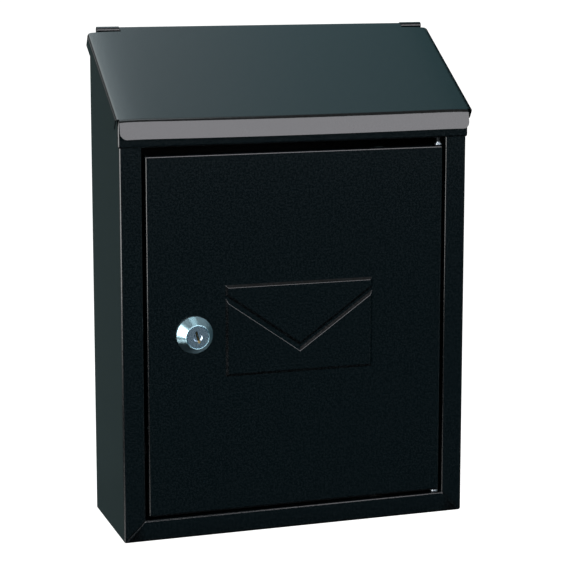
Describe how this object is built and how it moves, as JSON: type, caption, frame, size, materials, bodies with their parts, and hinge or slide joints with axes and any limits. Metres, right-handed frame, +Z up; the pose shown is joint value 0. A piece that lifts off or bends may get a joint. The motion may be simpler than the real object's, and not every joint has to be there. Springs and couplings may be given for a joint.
{
  "type": "wall mounted mailbox",
  "caption": "Small sheet steel letterbox for a wall, with a sloping lid over the letter slot and a right-hung front door held by a cam lock.",
  "frame": {"origin": "centre of the four wall screw holes, in the plane of the back plate's rear face that lies on the wall", "axes": "+X to the right as seen from the front, +Y into the wall, +Z up"},
  "size_m": [0.2204, 0.0842, 0.3],
  "materials": {
    "black_coat": "satin fine-textured black powder coat",
    "zinc_plate": "bright zinc plate",
    "lock_chrome": "bright chrome plate",
    "wafer_brass": "bare stamped brass",
    "spring_steel": "bare spring wire",
    "black_rubber": "matt moulded rubber"
  },
  "bodies": {
    "frame": {"shell": "black_coat", "back_plate": "black_coat", "top_rail": "black_coat", "hinge_rod": "zinc_plate"},
    "lid": {"lid": "black_coat"},
    "door": {"door": "black_coat", "upper_pivot_pin": "zinc_plate", "lower_pivot_pin": "zinc_plate", "pivot_washer": "zinc_plate", "lock_gasket": "black_rubber", "lock_housing": "lock_chrome", "lock_washer": "zinc_plate", "lock_nut": "zinc_plate"},
    "lock_cylinder": {"lock_plug": "lock_chrome", "lock_wafers": "wafer_brass", "wafer_springs": "spring_steel", "stop_washer": "zinc_plate", "cam": "zinc_plate", "cam_washer": "zinc_plate", "cam_screw": "zinc_plate"}
  },
  "joints": [
    {"name": "lid_hinge", "type": "hinge", "parent": "frame", "child": "lid", "pos_m": [0, -0.0022, 0.1528], "axis": [-1, 0, 0], "range_deg": [0, 110]},
    {"name": "door_hinge", "type": "hinge", "parent": "frame", "child": "door", "pos_m": [0.0903, -0.0734, -0.0231], "axis": [0, 0, 1], "range_deg": [0, 105]},
    {"name": "lock_turn", "type": "hinge", "parent": "door", "child": "lock_cylinder", "pos_m": [-0.064, -0.076, -0.022], "axis": [0, 1, 0], "range_deg": [0, 90]}
  ]
}
